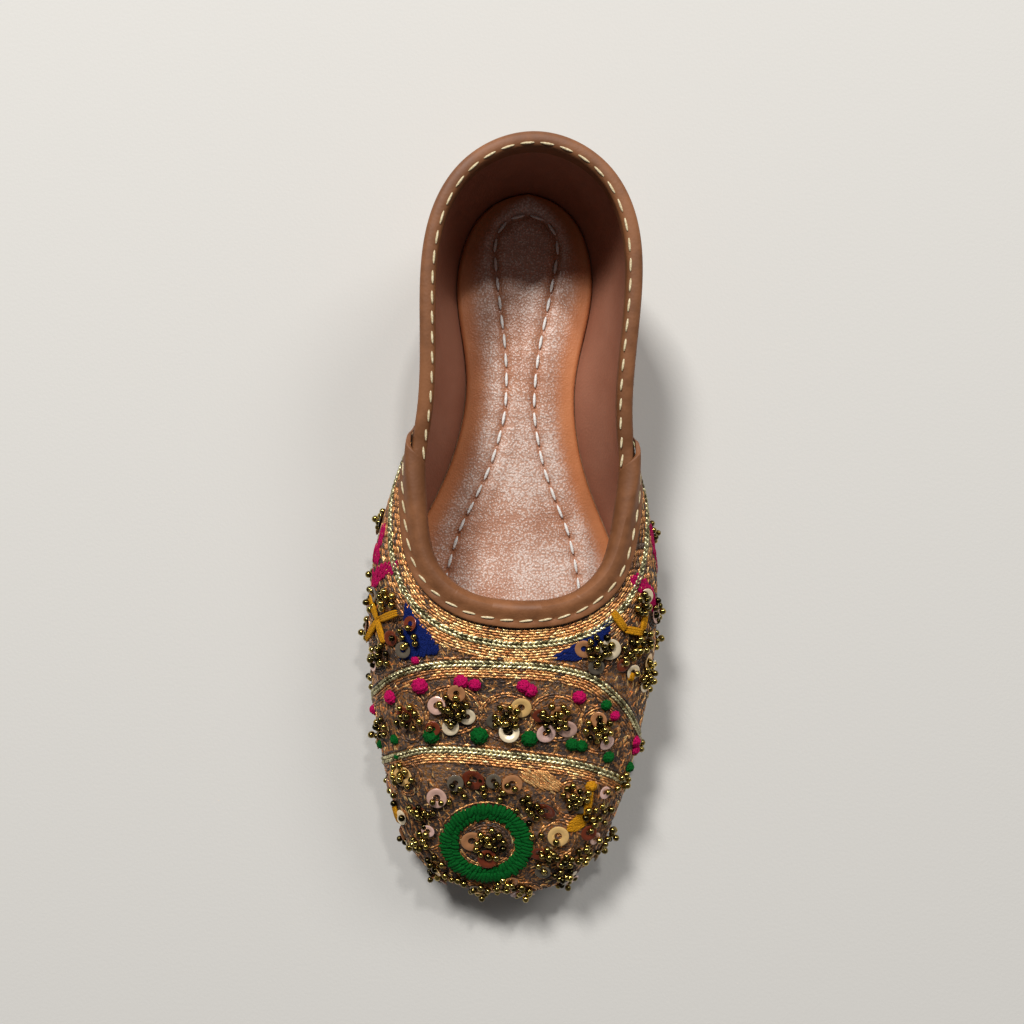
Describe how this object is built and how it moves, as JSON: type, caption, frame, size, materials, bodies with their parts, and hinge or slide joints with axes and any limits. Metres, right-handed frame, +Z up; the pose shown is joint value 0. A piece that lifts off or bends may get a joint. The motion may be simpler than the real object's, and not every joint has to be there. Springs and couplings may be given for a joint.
{
  "type": "mojari shoe",
  "caption": "Slip-on mojari shoe with a low open heel quarter, an embroidered closed vamp and a flat leather sole.",
  "frame": {"origin": "on the floor under the middle of the shoe's length and width", "axes": "+Y towards the heel, -Y towards the toe, +X to the right seen from above with the toe pointing down, +Z up"},
  "size_m": [0.0958, 0.2426, 0.0594],
  "materials": {
    "tan_leather": "smooth, semi-matt",
    "bronze_cloth": "embroidered, metallic threads",
    "binding_leather": "smooth, semi-matt",
    "sole_leather": "vegetable tanned, matt",
    "sock_leather": "pebbled, pearly gloss"
  },
  "bodies": {
    "root": {"outsole": "sole_leather", "heel_lift": "sole_leather", "insole": "sock_leather", "upper": "tan_leather", "vamp_cover": "bronze_cloth", "collar_binding": "binding_leather", "throat_binding": "binding_leather"}
  },
  "joints": []
}
